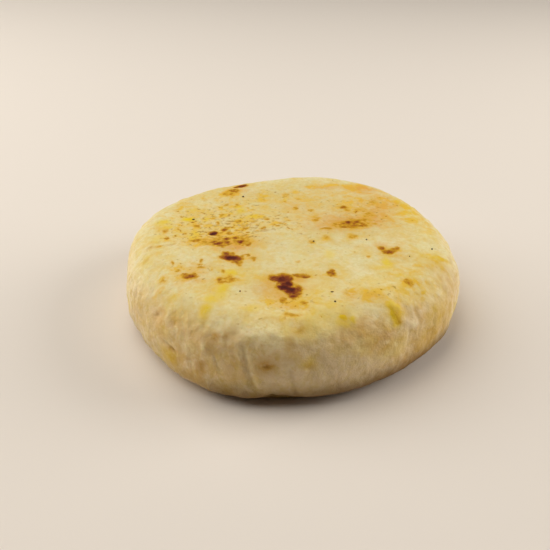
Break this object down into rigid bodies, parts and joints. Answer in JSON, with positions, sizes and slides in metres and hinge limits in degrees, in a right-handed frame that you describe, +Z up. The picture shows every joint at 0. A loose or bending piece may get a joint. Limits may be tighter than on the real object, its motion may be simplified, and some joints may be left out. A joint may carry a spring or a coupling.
{
  "type": "arepa corn cake",
  "caption": "Thick round cake of griddled white corn dough, hand-patted, with creased sides and toasted, speckled flat faces.",
  "frame": {"origin": "middle of the outline's box on the flat underside, where the cake rests", "axes": "+Z up through the thickness; -Y towards the side that faces the viewer; +X to that viewer's right"},
  "size_m": [0.103, 0.1076, 0.0251],
  "materials": {
    "corn_dough": "matt griddled corn dough, cream with yellow patches, orange-brown toasting and a few dark charred spots"
  },
  "bodies": {
    "root": {"corn_cake": "corn_dough"}
  },
  "joints": []
}
